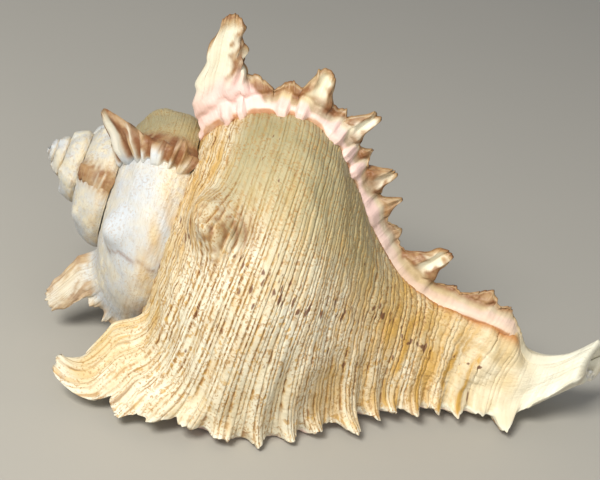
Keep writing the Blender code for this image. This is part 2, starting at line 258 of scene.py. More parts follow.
def varix_heights(k, s):
    """Height of the web and of the frond crest of varix k, and where each point sits across its frond."""
    spine, frond, web, lean, narrow, curl = VARIX_SHAPES[k] if k < len(VARIX_SHAPES) else WORN_VARIX
    sharpness = 0.5 + 1.45 * narrow
    lip_w = OUTLINE.place(s)
    low = web * ease((lip_w - 54) / 5)
    if k > 0:
        low = low * (1 - ease((lip_w - 161) / 9))
    crest = np.zeros_like(s)
    across = np.full_like(s, 2.0)
    pull = np.zeros_like(s)
    weight = np.ones_like(s)
    for number, (place, height, half) in enumerate(LIP_FRONDS if k == 0 else OLD_FRONDS):
        distance = (s - OUTLINE.share(place)) * OUTLINE.length
        q = distance / half
        tall = height * (spine if number == 0 else frond)
        falloff = np.clip(1 - np.abs(q) ** 2.4, 0, 1)
        rise = falloff ** (sharpness if number == 0 else 0.8)
        if (k, number) == (BLUNT_VARIX, 0):
            rise = np.minimum(rise, 0.8)
        crest = np.maximum(crest, tall * rise)
        across = np.where(np.abs(q) < np.abs(across), q, across)
        pull = pull + tall * falloff * distance * narrow * (1.0 if number == 0 else 0.75)
        weight = weight + tall * falloff
    crest = np.maximum(low, crest) + 1.2 * np.clip(1 - np.abs(low - crest) / 4, 0, 1) ** 2
    return low, crest, across, pull / weight, lean, curl


def to_space(w, r, psi):
    """Points of the shell's frame; the canal bends away from the axis and ends in a slanted rim."""
    angle = np.radians(psi)
    slant = CANAL_SLANT * ease((w - CANAL_SLANT_START) / (CANAL_END - CANAL_SLANT_START))
    x = w - slant * r * np.cos(angle - math.radians(CANAL_SLANT_PSI))
    bend = CANAL_BEND * np.clip((w - CANAL_BEND_START) / (CANAL_END - CANAL_BEND_START), 0, 2) ** 3.6
    bend_angle = math.radians(CANAL_BEND_PSI)
    y = r * np.cos(angle) + bend * math.cos(bend_angle)
    z = r * np.sin(angle) + bend * math.sin(bend_angle)
    return np.stack([x, y, z], -1)


def waves(u, v, seed, count=7):
    """A smooth uneven field between about -1 and 1, the same on every run."""
    rng = np.random.default_rng(seed)
    field = 0.0
    for _ in range(count):
        angle = rng.uniform(0, 2 * math.pi)
        pitch = rng.uniform(0.6, 1.7)
        shift = rng.uniform(0, 2 * math.pi)
        field = field + np.sin((u * math.cos(angle) + v * math.sin(angle)) * pitch * 2 * math.pi + shift)
    return field / math.sqrt(count) / 1.2


def from_knob(growth, s):
    """Millimetres along the outline and degrees of growth from the nearest shoulder knob."""
    step = (growth + VARIX_STEP) % VARIX_STEP - VARIX_STEP / 2
    return (s - OUTLINE.share(KNOB_PLACE)) * OUTLINE.length, step


def from_knob_top(growth, s):
    """The same from the knob's sharp top, which leans forward and away from the suture."""
    from_mm, step = from_knob(growth, s)
    return from_mm - TOP_SHIFT, step - TOP_SHIFT


def cord_number(growth, s):
    """Place among the spiral cords: whole numbers are grooves, uneven and bent round the knobs."""
    place = s * CORDS
    along, step = from_knob_top(growth, s)
    uneven = 0.22 * np.sin(place * 2 * math.pi / 3.1)
    wander = 0.4 * waves(place / 30, growth / 45, 3)
    bend = -0.4 * along / (OUTLINE.length / CORDS) * hill((along, 8), (step + TOP_SHIFT, 11))
    return place + uneven + wander + bend


def flutes(growth, s):
    """Broad folds that run with the cords: 1 on a ridge, -1 in a hollow."""
    along = s * OUTLINE.length
    return np.sin(2 * math.pi * (along / FLUTE_WIDTH + 0.35 * waves(along / 45, growth / 120, 5)))


def knob_relief(growth, s):
    """The knob's sharp top, the hollow beside it and the wrinkles round it, in millimetres."""
    from_mm, step = from_knob_top(growth, s)
    away = np.hypot(from_mm, step)
    hollow = 2.0 * hill((from_mm - 9, 4.5), (step + TOP_SHIFT, 4.0))
    peak = 4.5 * hill((from_mm, 3.8), (step, 3.4))
    wrinkles = 0.45 * np.sin(2 * math.pi * away / WRINKLE_STEP) * hill((away, 9))
    return (peak - hollow + wrinkles) * ease((growth + SHARP_KNOB_FROM) / 10)


def fine_relief(growth, s, high, front):
    """Cords, folds and wear, as a lift in millimetres at the lip's scale."""
    along = s * OUTLINE.length
    lip_w = OUTLINE.place(s)
    cord = cord_number(growth, s)
    number = np.clip(np.round(cord), 0, CORDS + 1).astype(int)
    strength = 0.2 + 1.5 * np.random.default_rng(3).random(CORDS + 2)[number] ** 2
    strength = strength * (1 + 0.6 * waves(number * 0.37, growth / 30, 6))
    worn = ease((-growth - WORN_FROM - 5) / 60) * (1 - hump_share(growth))
    calm = 1 - 0.8 * ease((lip_w - 162) / 18)
    lift = -CORD_DEPTH * strength * hill((cord - number, 0.14)) * (1 - 0.85 * worn) * (1 - front)
    canal = ease((lip_w - 138) / 25)
    near_lip = ease((growth + 40) / 34) * ease((lip_w - 58) / 8)
    lift = lift + FLUTE_DEPTH * (canal + 1.1 * near_lip * (1 - canal)) * flutes(growth, s) * (1 - front)
    lift = lift + 0.30 * waves(along / 16, growth / 17, 8) + 0.15 * waves(along / 5, growth / 5, 9)
    crisp = 0.45 * ease(high / 6) * waves(along / 2.8, growth / 45, 11)
    return (lift + crisp) * calm + knob_relief(growth, s)


def bore(w):
    """Radius of the canal's bore."""
    return np.interp(w, CANAL_BORE_AT, CANAL_BORE)


def hump_share(growth):
    """1 on the sheltered far side of the whorl before, which isn't worn smooth."""
    return ease((-growth - HUMP_FROM) / 6) * (1 - ease((-growth - HUMP_TO) / 20))


def lobes(k, s):
    """The rolled rim's lobes on varix k, or the comb's pickets: 1 on each, 0 between them."""
    comb = k == COMB_VARIX
    place = s * OUTLINE.length / (COMB_STEP if comb else RIM_SCALLOP)
    swing = np.sin(2 * math.pi * (place + 0.35 * waves(s * OUTLINE.length / 30, 0 * s, 40 + k)))
    even = ease((OUTLINE.place(s) - 120) / 14)
    return ease(0.35 + 0.8 * swing) if comb else ease(0.55 + 0.6 * swing) * (1 - even) + 0.45 * even


def face_relief(k, s, height, scale, front):
    """How far the face of varix k stands forward: a scalloped roll at its foot, or the comb's pickets."""
    lobe = lobes(k, s)
    tall = height / scale
    lip_w = OUTLINE.place(s)
    if k == COMB_VARIX:
        return PICKET_THICK * lobe * front * (1 - ease((tall - 12) / 6))
    above = np.clip(tall - 1.2 - 1.6 * lobe, 0, None)
    roll = hill((above, 1.4)) * ease((lip_w - 56) / 6) * (1 - 0.4 * ease((lip_w - 120) / 14))
    undercut = 1.5 * hill((tall - 5.0 - 1.5 * lobe, 1.3))
    shown = front * (1 - ease((lip_w - 164) / 6))
    return (RIM_THICK * roll * (0.3 + 0.7 * lobe) - undercut) * shown


def raise_varix(k, s, w, r, scale, web_share, crest_share, groove, front):
    """Points lifted by the web and fronds of varix k: place, radius, height, and steps forward and back."""
    nw, nr = OUTLINE.normals(s)
    along = s * OUTLINE.length
    low, crest, across, narrowing, lean, curl = varix_heights(k, s)
    on_frond = np.abs(across) < 1
    near_spine = ease(1.3 - np.abs(along - OUTLINE.share(SPINE_PLACE) * OUTLINE.length) / SPINE_SPAN)
    ragged = 0.7 * waves(along / 6, 0 * s, 20 + k) + 0.45 * waves(along / 2.2, 0 * s, 30 + k)
    ragged = ragged * (1 - 0.7 * near_spine * (k == 0))
    crest = crest + ragged * ease(crest_share * 1.5) * ease((crest - 2) / 6)
    height = (low * web_share + (crest - low) * crest_share) * scale

    lean_w = nw * (1 - 0.6 * abs(lean) * near_spine * (lean > 0)) + min(lean, 0) * near_spine
    lean_r = nr + max(lean, 0) * near_spine + min(lean, 0) * near_spine
    size = np.hypot(lean_w, lean_r)
    foot = np.minimum(height, 11 * scale)
    tip = height - foot
    up_frond = crest_share * np.clip(height / (crest * scale + 0.01), 0, 1) * on_frond
    inward = -narrowing * scale * up_frond - curl * near_spine * scale * (tip / (22 * scale)) ** 3
    lobed = waves(height / scale / 11 + 3 * k, 1.7 * (across > 0) + 0 * s, 50 + k)
    waving = FROND_WAVES[min(k, len(FROND_WAVES) - 1)] * scale * across * on_frond
    inward = inward + waving * lobed * ease(height / scale / 14)
    w = w + nw * foot + lean_w / size * tip + nr * inward
    r = r + nr * foot + lean_r / size * tip - nw * inward

    ridges = 0.9 * np.cos(across * 2 * math.pi * 1.25) * on_frond
    ridges = ridges + (0.4 - 0.3 * near_spine) * waves(along / 2.4, height / 14, 70 + k)
    back = -groove * np.clip(1 - across ** 2, 0, 1) * ease(height / 10)
    back = back - scale * ridges * ease((height / scale - 5) / 7) * front
    return w, r, height, face_relief(k, s, height, scale, front) * scale, back


def open_slit(w, r, psi):
    """Radius of the points with the canal's slit cut in on its underside."""
    away = np.abs((psi - SLIT_PSI + 180) % 360 - 180) * math.pi / 180 * np.maximum(r, 1)
    depth = ease((w - 128) / 12) * np.clip(r - bore(w) * 0.6, 0, None)
    return r - depth * (1 - ease((away - SLIT_WIDTH * 0.35) / 1.6))


def shell_points(growth, s, k=None, web_share=0.0, crest_share=0.0, forward=0.0, groove=0.0, after=0.0,
                 front=0.0):
    """Points of the outer surface with the height of the varix there, both in millimetres."""
    w, r, scale = plain_whorl(growth, s)
    before = np.abs(growth + VARIX_STEP) if k == 1 else 999.0 * (np.abs(growth + VARIX_STEP) > 75)
    r = r + old_lip_rise(w, before, after if k != 1 else 0.0)
    height = 0.0 * s
    face = 0.0
    back = 0.0
    if k is not None:
        w, r, height, face, back = raise_varix(k, s, w, r, scale, web_share, crest_share, groove, front)
    from_mm, step = from_knob(growth, s)
    knob = KNOB_HEIGHT * hill((from_mm, KNOB_WIDTH), (step, KNOB_WIDTH))
    knob = knob * np.where(growth < -LOW_KNOBS_FROM, 0.45, 1.0)
    lift = (knob + fine_relief(growth, s, height, front)) * scale
    covered = ease((-growth - 350) / 8) * ease((OUTLINE.place(s) - 112) / 20)
    nw, nr = OUTLINE.normals(s)
    w = w + nw * lift
    r = r + nr * lift - 1.6 * covered
    psi = LIP_PSI + growth + turn_for(forward + face + back, r)
    return to_space(w, open_slit(w, r, psi), psi), height


def growth_rows(k, s, plain, back, front):
    """Rows from varix k + 1 to the front of varix k: points, height, growth and front share."""
    lead = LIP_LEAD * (1 - ease((OUTLINE.place(s) - 60) / 25)) if k == 0 else 0.0
    crest = varix_growth(k) + lead
    behind = varix_growth(k + 1)
    w, r, _ = plain_whorl(behind + 0 * s, s)
    if k == 0:
        r = r + old_lip_rise(w, 0.0, 0.0)
    clear = turn_for(VARIX_THICK, r)
    rows = []
    for v in np.linspace(0, 1, plain, endpoint=False):
        growth = behind + clear * 0.4 + v * (crest - behind - VARIX_BACK - clear * 0.4)
        after = np.maximum(growth - behind - clear, 0) if k == 0 else 0.0
        rows.append((*shell_points(growth, s, after=after), growth, 0 * s))
    for v in np.linspace(0, 1, back, endpoint=False):
        left = VARIX_BACK * (1 - v) ** 1.6
        f = 1 - left / VARIX_BACK
        growth = crest - left + 0 * s
        points, height = shell_points(growth, s, k, f ** 2.6, f ** 9, groove=3.0 * f ** 6, after=999.0)
        rows.append((points, height, growth, 0 * s))
    for v in np.linspace(0, 1, front):
        u = 1 - v
        forward = VARIX_THICK * (0.35 * np.sqrt(np.clip(1 - u ** 6, 0, 1)) + 0.65 * ease(v))
        share = float(ease(v * 6))
        points, height = shell_points(
            crest + 0 * s, s, k, u, u, forward=forward, groove=3.0 * u, after=999.0, front=share)
        rows.append((points, height, crest + 0 * s, share + 0 * s))
    if k > 0:
        rows.append((toward_axis(rows[-1][0], 2.0), *rows[-1][1:]))
    return [np.array(part) for part in zip(*rows)]


def toward_axis(points, distance):
    """Points moved straight towards the coiling axis."""
    w = points[..., 0]
    outward = points - to_space(w, 0 * w, 0 * w)
    return points - outward / np.linalg.norm(outward, axis=-1, keepdims=True) * distance


def widen(sheet, columns, at_start):
    """The sheet with columns of points added on one side, which repeat its edge's other values."""
    count = columns.shape[1]
    edge = 0 if at_start else -1
    widened = []
    for values in sheet:
        repeated = columns if values.ndim == 3 else np.repeat(values[:, edge, None], count, 1)
        widened.append(np.concatenate([repeated, values] if at_start else [values, repeated], 1))
    return widened


def close_suture(sheet, scale):
    """Turn the sheet in at its suture, down into the whorl before and towards the axis."""
    edge = sheet[0][:, 0]
    reach = np.linalg.norm(edge - to_space(edge[:, 0], 0 * edge[:, 0], 0 * edge[:, 0]), axis=1)[:, None]
    added = []
    for down, aside in ((0.7, 0.25), (2.0, 0.5), (3.8, 0.6)):
        added.append(toward_axis(edge, down * scale) - np.array([aside, 0, 0]) * scale)
    added.append(toward_axis(edge, reach * 0.55))
    return widen(sheet, np.stack(added[::-1], 1), True)


def close_canal_end(sheet):
    """Turn the sheet in at the canal's open tip, round a rounded edge and back along the bore."""
    centre = to_space(np.array([CANAL_END]), np.zeros(1), 0.0)[0]
    edge = sheet[0][:, -1]
    outward = edge - centre
    reach = np.linalg.norm(outward, axis=1)[:, None]
    outward = outward / reach
    thick = np.clip(reach - bore(CANAL_END), 0.4, None)
    added = []
    for turn in np.linspace(0.25, 1, 6) * math.pi:
        in_by = thick * (1 - math.cos(turn)) / 2
        added.append(edge - outward * in_by + np.array([1.2 * math.sin(turn), 0, 0]))
    for back in (3, 7, 12, 18, 26, 36):
        inner = to_space(np.array([CANAL_END - back]), np.zeros(1), 0.0)[0]
        added.append(inner + outward * np.minimum(reach - thick, bore(CANAL_END - back)))
    return widen(sheet, np.stack(added, 1), False)


def mouth_edge(growth, lip_w, side):
    """Place and radius of the hollow's wall: side 1 is under the outer wall, -1 on the columella."""
    longer = LONGER_PER_TURN ** (growth / 360)
    wider = size_at(growth)
    middle = (MOUTH_SPAN[0] + MOUTH_SPAN[1]) / 2
    x = np.clip((lip_w - middle) / (MOUTH_SPAN[1] - middle), -1, 1)
    outer = wider * (OUTLINE.radius(lip_w) - WALL)
    before = wider / WIDER_PER_TURN * OUTLINE.radius(lip_w * LONGER_PER_TURN) + 1.0
    inner = np.minimum(np.maximum(before, COLUMELLA * wider), outer - 1.0)
    half = (outer - inner) / 2 * np.sqrt(np.clip(1 - x ** 4, 0, 1))
    return lip_w * longer, (outer + inner) / 2 + side * half, inner


def close_lip(sheet, s):
    """Turn the sheet in behind the lip's edge, to the wall of the hollow or down to the canal."""
    points, high, growth, front = sheet
    lip_w = OUTLINE.place(s)
    last = growth[-1]
    w, r, _ = plain_whorl(last, s)
    _, wall, inner = mouth_edge(last, lip_w, 1)
    within = ease((lip_w - MOUTH_SPAN[0] + 1) / 2) * (1 - ease((lip_w - MOUTH_SPAN[1]) / 3))
    beside = np.where(lip_w > MOUTH_SPAN[1], canal_radius(w) - 0.6, np.minimum(inner, r - 0.5))
    target = wall * within + beside * (1 - within)
    past = turn_for(VARIX_THICK, r)
    rows = []
    steps = np.linspace(0, 1, 9)[1:]
    for v in steps:
        radius = r + (target - r) * ease(v)
        ahead = turn_for(1.1 * math.sin(math.pi * min(v * 1.3, 1)), radius)
        radius = radius - 0.7 * within * ease((v - 0.85) / 0.15)
        rows.append(to_space(w, radius, LIP_PSI + last + past + ahead - 24.0 * max(0, v - 0.88)))
    added = [np.array(rows), 0 * high[-1] + np.zeros((len(steps), 1)), last + np.zeros((len(steps), 1)),
             1 + np.zeros((len(steps), len(s)))]
    return [np.concatenate(pair) for pair in zip((points, high, growth, front), added)]


def mouth_grid():
    """The hollow behind the lip with the inner lip that spreads over the whorl before."""
    turn = np.linspace(0, 2 * math.pi, MOUTH_COLUMNS)
    middle, half_span = sum(MOUTH_SPAN) / 2, (MOUTH_SPAN[1] - MOUTH_SPAN[0]) / 2
    lip_w = middle - np.cos(turn) * half_span
    side = np.where(turn < math.pi, 1.0, -1.0)
    spread = ease(np.clip(-np.sin(turn), 0, 1) * 1.6)
    r = plain_whorl(0.0, OUTLINE.share(lip_w))[1]
    lead = LIP_LEAD * (1 - ease((lip_w - 60) / 25)) + turn_for(VARIX_THICK, r)
    start = lead * (1 - spread) + 24 * spread
    rows = []
    near, deep = MOUTH_ROWS
    depth = np.concatenate([np.linspace(0, 0.15, near, endpoint=False), np.linspace(0.15, 1, deep)])
    for v in depth:
        growth = start + (-MOUTH_DEPTH - start) * v
        w, radius, _ = mouth_edge(growth, lip_w, side)
        raised = 0.8 * hill((growth - 17, 5)) - 2.0 * ease((growth - 18) / 6)
        sunk = np.clip(np.sin(turn), 0, 1) * ease((-growth - 25) / 15)
        radius = radius + raised * spread - 1.3 * sunk
        w_mid, outer_mid, inner_mid = mouth_edge(growth, middle + 0 * turn, 1)
        centre = (outer_mid + inner_mid) / 2
        kept = 0.03 + 0.97 * np.sqrt(ease((growth + MOUTH_DEPTH) / 60))
        points = to_space(w_mid + (w - w_mid) * kept, centre + (radius - centre) * kept, LIP_PSI + growth)
        rows.append((points, growth))
    return [np.array(part) for part in zip(*rows)]


def to_world(points):
    """From the shell's frame in millimetres to the model's in metres, worn where it rests."""
    up = Vector(UP_IN_SHELL).normalized()
    along = (Vector((1, 0, 0)) - up * up.x).normalized()
    turn = np.array((along, up.cross(along), up))
    world = (points @ turn.T + np.array(APEX_AT)) / 1000
    height = world[..., 2]
    pressed = REST_BAND * np.exp(np.minimum(height / REST_BAND - 1, 0))
    world[..., 2] = np.where(height < REST_BAND, pressed, height)
    return world


# Places of the broad ochre streaks on the canal's base.
CANAL_STREAKS = (139, 146, 153.5, 160)


class Cover:
    """Where the sheet behind varix k has which colour; each method gives one mask, mostly 0 to 1."""

    def __init__(self, k, s, growth, high, front):
        self.s = s
        self.growth = growth
        self.front = front
        self.lip_w = OUTLINE.place(s)
        self.along = s * OUTLINE.length
        self.tall = high / size_at(growth)
        self.reach = self.tall.max(0)
        self.lobe = lobes(k, s)
        self.folds = flutes(growth, s)
        self.hump = hump_share(growth)
        self.old = ease((-growth - WORN_FROM) / 45)
        self.body = 1 - self.old
        self.upper = ease((-growth - 38) / 40) * ease((self.lip_w - 60) / 10)
        self.upper = self.upper * (1 - ease((self.lip_w - 118) / 25))
        self.shoulder = ease((73 - self.lip_w) / 7)
        self.across = varix_heights(1, s)[2]
        self.edge = np.abs(self.across) - 0.14 + 0.2 * waves(self.along / 4, self.tall / 6, 91)
        self.edge = ease(self.edge / 0.35)
        self.near_comb = ease(1.4 - np.abs(growth + COMB_VARIX * VARIX_STEP) / 14)
        from_mm, step = from_knob_top(growth, s)
        self.away = np.hypot(from_mm, step)
        self.ring = ease(-np.sin(2 * math.pi * self.away / WRINKLE_STEP))
        # Painted shade in the hollow beside the knob's sharp top.
        self.knob_shade = hill((from_mm - 7, 5), (step + TOP_SHIFT, 4.5))

    def olive_and_shade(self):
        """The dull upper side and far hump, and painted shade in fold hollows near the lip and beside the
        knob.
        """
        hollows = ease(-self.folds * 1.6 - 0.1) * (1 - ease((self.lip_w - 158) / 10))
        # Painted shade: olive laid into the hollows of the folds near the lip.
        hollow_shade = 0.12 * ease((self.growth + 42) / 25) * hollows
        share = np.maximum(np.maximum(self.upper, hollow_shade), self.knob_shade)
        return np.maximum(self.body * share * (1 - self.front), self.hump)

    def honey(self):
        """Warm yellow at the suture, round the knob, on the flank and in streaks at the canal's base."""
        suture = (1 - ease((self.lip_w - 60) / 8)) * (0.25 + 0.4 * ease((-self.growth - 20) / 40))
        suture = np.maximum(suture, 0.8 * hill((np.hypot(*from_knob(self.growth, self.s)), 13)))
        flank = ease((self.lip_w - 102) / 14) * (1 - 0.8 * ease((self.lip_w - 140) / 38))
        flank = flank * (0.75 - 0.25 * self.folds)
        streaks = 0.0
        for at in CANAL_STREAKS:
            wander = 0.8 * waves(self.growth / 30, 0 * self.s + at, 17)
            streaks = streaks + hill((self.lip_w - at - wander, 1.3)) * ease((self.growth + 75) / 20)
        flank = np.maximum(flank, 1.4 * streaks)
        share = self.body * np.maximum(suture, flank) * (1 - self.front)
        return np.maximum(share, 0.9 * self.old * ease((self.lip_w - 80) / 14))

    def rust(self):
        """The line along the foot of the last old lip, and the gaps between its rim's lobes."""
        w, r, _ = plain_whorl(self.growth, self.s)
        r = r + old_lip_rise(w, 0.0, 0.0)
        from_seam = np.radians(self.growth + VARIX_STEP) * r - VARIX_THICK
        seam = hill((from_seam - 0.6, 0.8 + 0.9 * ease((self.lip_w - 112) / 20)))
        seam = seam * (self.growth > -VARIX_STEP) * (1 - ease((self.lip_w - 168) / 6))
        gaps = ease((2.2 * (1 - self.lobe) - self.tall) / 0.8) * (self.lip_w < 166)
        return np.maximum(seam * (1 - self.front), self.body * self.front * gaps)

    def pink(self, rust):
        """The rolled rim at the foot of an old lip, broader beside the shoulder spine."""
        past_roll = self.tall - 2.2 - 2.4 * self.lobe - 7 * self.shoulder
        roll = self.front * self.body * (1 - ease(past_roll / (1.2 + 8 * self.shoulder)))
        roll = roll * (1 - 0.4 * ease((self.lip_w - 120) / 14)) * (1 - ease((self.lip_w - 166) / 6))
        return roll * (1 - 0.8 * rust)

    def brown(self):
        """Gaps, edges and backs of the fronds, the comb, the rough patch and rings on the knob."""
        gaps = self.front * ease((self.tall - 3.4 - 2 * self.lobe) / 1.5)
        gaps = gaps * (1 - ease((self.reach - 13) / 4))
        kept_light = self.shoulder * (self.across < 0.15)
        edges = self.front * ease((self.tall - 4.5) / 3) * self.edge * (1 - kept_light)
        gaps = np.maximum(gaps, edges * (self.growth < -60))
        backs = (1 - self.front) * ease((self.tall - 2) / 5) * ease((-self.growth - 20) / 20)
        backs = backs * (1 - self.old * (1 - 0.7 * self.edge))
        comb = self.near_comb * ease(self.tall / 2.5) * (1 - self.front * self.lobe)
        rough = hill((self.growth + ROUGH_VARIX * VARIX_STEP - 3, 11))
        rough = rough * (1.2 + 0.6 * waves(self.along / 9, self.growth / 9, 15))
        rings = 0.9 * self.body * self.ring * hill((self.away, 10))
        share = np.maximum(np.maximum(gaps, backs), np.maximum(comb, rough))
        return np.clip(np.maximum(share, rings), 0, 1)

    def deep(self):
        """Painted shade in the hollows of the comb, behind the rim and beside the knob, and the line of
        stopped growth.
        """
        # Painted shade between the comb's pickets and in the groove behind the rim; the stop line is the
        # shell's own colour.
        comb = self.near_comb * (1 - self.lobe) * ease((self.tall - 1) / 2)
        comb = comb * (1 - ease((self.tall - self.reach * 0.8) / 3))
        behind_rim = ease((self.tall - 1.5) / 2) * (1 - ease((self.tall - 7) / 3))
        rim = 0.6 * self.body * self.front * (1 - self.lobe) * behind_rim
        # Painted shade beside the knob, stronger on its wrinkle rings.
        knob = self.body * self.knob_shade * (0.35 + 0.5 * self.ring)
        stop = hill((self.growth + STOP_LINE + 4 * waves(self.along / 25, 0 * self.growth, 63), 1.1))
        stop = 0.55 * stop * ease((self.lip_w - 60) / 8) * (1 - self.front)
        return np.maximum(np.maximum(comb, rim), np.maximum(knob, stop))

    def white(self, olive_and_shade, brown):
        """The worn old whorls, the canal, middles of the fronds, the belly near the lip, and the teeth."""
        stained = 0.5 * ease((self.lip_w - 78) / 12)
        stained = stained * (0.7 + 0.5 * waves(self.along / 14, self.growth / 25, 27))
        stained = np.clip(stained + 0.5 * ease((self.tall - 4) / 6), 0, 1)
        worn = self.old * (1 - self.hump) * (1 - stained)
        canal = 0.9 * ease((self.lip_w - 172) / 22)
        fronds = 0.6 * self.front * ease((self.tall - 5) / 6) * self.body
        belly = ease((self.growth + 80) / 35) * (1 - ease((self.lip_w - 112) / 22))
        belly = 0.45 * belly * ease((self.lip_w - 60) / 8) * self.body * (1 - olive_and_shade)
        teeth = ease((self.tall / np.maximum(self.reach, 2) - 0.72) / 0.25) * ease((self.tall - 2) / 2)
        teeth = 0.85 * teeth * ease((self.growth + 8) / 5)
        share = np.maximum(np.maximum(worn, canal), np.maximum(fronds, np.maximum(belly, teeth)))
        return share * (1 - brown)

    def lined(self):
        """Where lines run in the grooves between the cords."""
        share = (1 - self.front) * (1 - 0.85 * self.old * (1 - 0.3 * self.hump))
        share = share * (1 - 0.95 * ease((self.lip_w - 138) / 18))
        return share * (1 - 0.65 * self.upper) * (1 - 0.4 * ease((self.growth + 9) / 8))

    def grain(self):
        """Where the shell is speckled and mottled."""
        share = (1 - self.front) * (1 - 0.6 * self.old * (1 - self.hump))
        return share * (1 - ease((self.lip_w - 146) / 20))

    def spots(self):
        """Where dark dashes are likely, most of all along one growth line."""
        from_row = self.growth + DASH_ROW + 4 * waves(self.along / 40, 0 * self.growth, 61)
        share = (0.30 + 0.6 * hill((from_row, 5))) * self.body * (1 - self.front)
        return share * (1 - ease((self.lip_w - 165) / 8)) * (1 - hill((self.away, 8)))

    def masks(self):
        """All masks by name, with the cord number, the growth angle and the growth as a length."""
        olive_and_shade = self.olive_and_shade()
        rust = self.rust()
        brown = self.brown()
        return {
            "cord": cord_number(self.growth, self.s) + 0 * self.growth,
            "growth": self.growth,
            "arc": self.growth * OUTLINE.radius(self.lip_w) / OUTLINE.radius(WIDEST_PLACE),
            "olive_and_shade": olive_and_shade,
            "honey": self.honey(),
            "rust": rust,
            "pink": self.pink(rust),
            "brown": brown,
            "deep": self.deep(),
            "white": self.white(olive_and_shade, brown),
            "lined": self.lined(),
            "grain": self.grain(),
            "spots": self.spots(),
        }


def sheet_object(name, points, masks, material, outward=True):
    """A smooth mesh piece of the shell from a grid of points, with its masks as point attributes."""
    rows, columns = points.shape[:2]
    corner = np.arange(rows - 1)[:, None] * columns + np.arange(columns - 1)[None]
    order = (corner, corner + columns, corner + columns + 1, corner + 1)
    faces = np.stack(order if outward else order[::-1], -1).reshape(-1, 4)
    mesh = bpy.data.meshes.new(name)
    mesh.vertices.add(rows * columns)
    mesh.vertices.foreach_set("co", to_world(points).reshape(-1))
    mesh.loops.add(faces.size)
    mesh.loops.foreach_set("vertex_index", faces.reshape(-1))
    mesh.polygons.add(len(faces))
    mesh.polygons.foreach_set("loop_start", np.arange(len(faces)) * 4)
    mesh.update(calc_edges=True)
    for key, values in masks.items():
        layer = mesh.attributes.new(key, "FLOAT", "POINT")
        layer.data.foreach_set("value", values.astype(np.float32).reshape(-1))
    mesh.shade_smooth()
    mesh.materials.append(material)
    piece = bpy.data.objects.new(name, mesh)
    bpy.context.scene.collection.objects.link(piece)
    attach(piece, "root")
    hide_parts("murex_shell")


class Shader:
    """A Principled material whose nodes are added by short calls."""

    def __init__(self, name):
        self.material = bpy.data.materials.new(name)
        self.material.use_nodes = True
        self.nodes = self.material.node_tree.nodes
        self.links = self.material.node_tree.links
        self.surface = self.nodes["Principled BSDF"]

    def put(self, value, socket):
        if isinstance(value, bpy.types.NodeSocket):
            self.links.new(value, socket)
        else:
            socket.default_value = value

    def mask(self, name):
        node = self.nodes.new("ShaderNodeAttribute")
        node.attribute_name = name
        return node.outputs["Fac"]

    def place(self):
        return self.nodes.new("ShaderNodeTexCoord").outputs["Object"]

    def calc(self, operation, a, b=0.0):
        node = self.nodes.new("ShaderNodeMath")
        node.operation = operation
        self.put(a, node.inputs[0])
        self.put(b, node.inputs[1])
        return node.outputs[0]

    def times(self, first, *others):
        for other in others:
            first = self.calc("MULTIPLY", first, other)
        return first

    def along(self, x, x_scale, y, y_scale, z=0.0):
        """A texture place from two values, each with its own scale."""
        node = self.nodes.new("ShaderNodeCombineXYZ")
        self.put(self.times(x, x_scale), node.inputs[0])
        self.put(self.times(y, y_scale), node.inputs[1])
        node.inputs[2].default_value = z
        return node.outputs[0]

    def noise(self, vector, scale, detail=3.0, roughness=0.6):
        node = self.nodes.new("ShaderNodeTexNoise")
        self.put(vector, node.inputs["Vector"])
        self.put(scale, node.inputs["Scale"])
        self.put(detail, node.inputs["Detail"])
        self.put(roughness, node.inputs["Roughness"])
        return node.outputs["Fac"]

    def ramp(self, value, low, high, bottom=0.0, top=1.0):
        node = self.nodes.new("ShaderNodeMapRange")
        node.interpolation_type = "SMOOTHSTEP"
        for item, socket in zip((value, low, high, bottom, top), node.inputs):
            self.put(item, socket)
        return node.outputs[0]

    def mix(self, a, b, share):
        node = self.nodes.new("ShaderNodeMix")
        node.data_type = "RGBA"
        self.put(share, node.inputs[0])
        self.put(a, node.inputs[6])
        self.put(b, node.inputs[7])
        return node.outputs[2]

    def over(self, colour, paint, *shares):
        """The colour with paint laid over it, as much as all the shares together allow."""
        return self.mix(colour, paint, self.times(*shares))

    def bump(self, height, distance, strength, normal=None):
        node = self.nodes.new("ShaderNodeBump")
        self.put(height, node.inputs["Height"])
        self.put(distance, node.inputs["Distance"])
        self.put(strength, node.inputs["Strength"])
        if normal is not None:
            self.put(normal, node.inputs["Normal"])
        return node.outputs[0]


# Colours of the shell and the ground, as linear red, green, blue and opacity.
IVORY = (0.62, 0.50, 0.28, 1)
CREAM = (0.72, 0.66, 0.49, 1)
HONEY = (0.54, 0.32, 0.07, 1)
# Olive is the colour of the upper side and far hump, and also painted shade in fold hollows and beside the
# knob.
OLIVE_AND_SHADE = (0.33, 0.29, 0.15, 1)
WORN_WHITE = (0.53, 0.57, 0.60, 1)
TEETH_WHITE = (0.70, 0.69, 0.57, 1)
PINK = (0.79, 0.56, 0.51, 1)
RUST = (0.42, 0.17, 0.04, 1)
OCHRE = (0.28, 0.12, 0.03, 1)
GOLD_BROWN = (0.35, 0.19, 0.055, 1)
DARK_BROWN = (0.13, 0.045, 0.015, 1)
FROND_BROWN = (0.23, 0.10, 0.035, 1)
# Painted shade in hollows, and the line of stopped growth.
SHADE_AND_LINE_BROWN = (0.20, 0.075, 0.022, 1)
FROND_TAN = (0.46, 0.30, 0.14, 1)
PORCELAIN = (0.82, 0.76, 0.70, 1)
FLOOR_DARK = (0.36, 0.35, 0.31, 1)
FLOOR_LIGHT = (0.40, 0.38, 0.335, 1)


